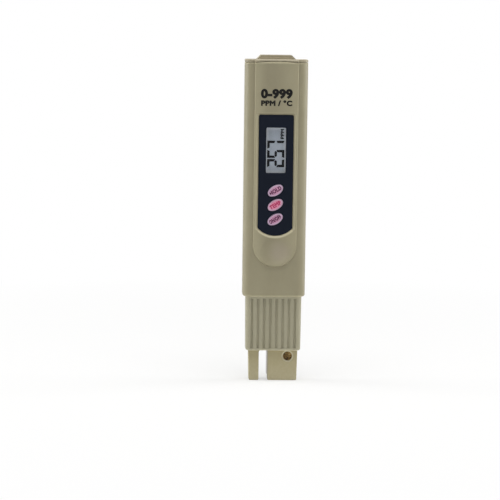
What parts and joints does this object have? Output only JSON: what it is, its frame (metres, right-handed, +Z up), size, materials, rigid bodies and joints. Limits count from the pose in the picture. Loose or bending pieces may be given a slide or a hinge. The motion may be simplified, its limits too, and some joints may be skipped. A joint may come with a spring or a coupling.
{
  "type": "digital water tester",
  "caption": "Pen-shaped water quality tester with a display, oval keys, a pull-off battery cap with clip, and a ribbed probe head with prongs.",
  "frame": {"origin": "middle of the outer box in X and Y, at the height of the prong tips", "axes": "+Z up along the tester from prong tips to battery cap, the display faces -Y, +X to the right as the display is read from the front"},
  "size_m": [0.0296, 0.021, 0.1543],
  "materials": {
    "case_plastic": "fine moulded satin, beige-olive",
    "head_plastic": "moulded satin, beige-olive",
    "panel_sheet": "dark blue-black printed sheet",
    "key_plastic": "pink, satin",
    "clear_plastic": "clear moulded lens",
    "lcd_glass": "grey polarised display glass",
    "white_plastic": "plain white moulding",
    "dark_rubber": "soft black rubber",
    "board_laminate": "green solder mask on glass laminate",
    "dark_plastic": "black moulding compound",
    "steel": "plated steel",
    "titanium": "bare titanium strip",
    "brass": "bare brass",
    "resin": "brown glossy casting resin",
    "trimmer_blue": "blue moulding"
  },
  "bodies": {
    "tester_body": {"front_case": "case_plastic", "rear_case": "case_plastic", "panel_overlay": "panel_sheet", "display_window": "clear_plastic", "lcd_glass": "lcd_glass", "lcd_frame": "white_plastic", "contact_strips": "dark_rubber", "key_switches": "dark_plastic", "main_board": "board_laminate", "board_screws": "steel", "controller_chip": "dark_plastic", "crystal": "steel", "board_components": "dark_plastic", "trimmer_body": "trimmer_blue", "button_cells": "steel", "battery_holder": "white_plastic", "front_contact": "steel", "rear_contact": "steel", "probe_head": "head_plastic", "head_seal": "dark_rubber", "left_electrode": "titanium", "right_electrode": "titanium", "electrode_leads": "steel", "temperature_sensor": "dark_plastic", "sensor_resin": "resin", "head_potting": "resin"},
    "battery_cap_body": {"battery_cap": "case_plastic"},
    "pocket_clip_body": {"pocket_clip": "case_plastic"},
    "hold_key_body": {"hold_key": "key_plastic", "hold_plunger": "dark_plastic"},
    "temp_key_body": {"temp_key": "key_plastic", "temp_plunger": "dark_plastic"},
    "power_key_body": {"power_key": "key_plastic", "power_plunger": "dark_plastic"},
    "trimmer_rotor_body": {"trimmer_rotor": "brass"}
  },
  "joints": [
    {"name": "battery_cap_slide", "type": "slide", "parent": "tester_body", "child": "battery_cap_body", "axis": [0, 0, 1], "range_m": [0, 0.05]},
    {"name": "pocket_clip_flex", "type": "hinge", "parent": "battery_cap_body", "child": "pocket_clip_body", "pos_m": [0, 0.00581, 0.15214], "axis": [1, 0, 0], "range_deg": [0, 6], "stiffness_Nm_per_rad": 3},
    {"name": "hold_key_press", "type": "slide", "parent": "tester_body", "child": "hold_key_body", "axis": [0, 1, 0], "range_m": [0, 0.00035], "stiffness_N_per_m": 4571},
    {"name": "temp_key_press", "type": "slide", "parent": "tester_body", "child": "temp_key_body", "axis": [0, 1, 0], "range_m": [0, 0.00035], "stiffness_N_per_m": 4571},
    {"name": "power_key_press", "type": "slide", "parent": "tester_body", "child": "power_key_body", "axis": [0, 1, 0], "range_m": [0, 0.00035], "stiffness_N_per_m": 4571},
    {"name": "trimmer_turn", "type": "hinge", "parent": "tester_body", "child": "trimmer_rotor_body", "pos_m": [0, 0.0015, 0.09784], "axis": [0, 1, 0], "range_deg": [-135, 135]}
  ]
}
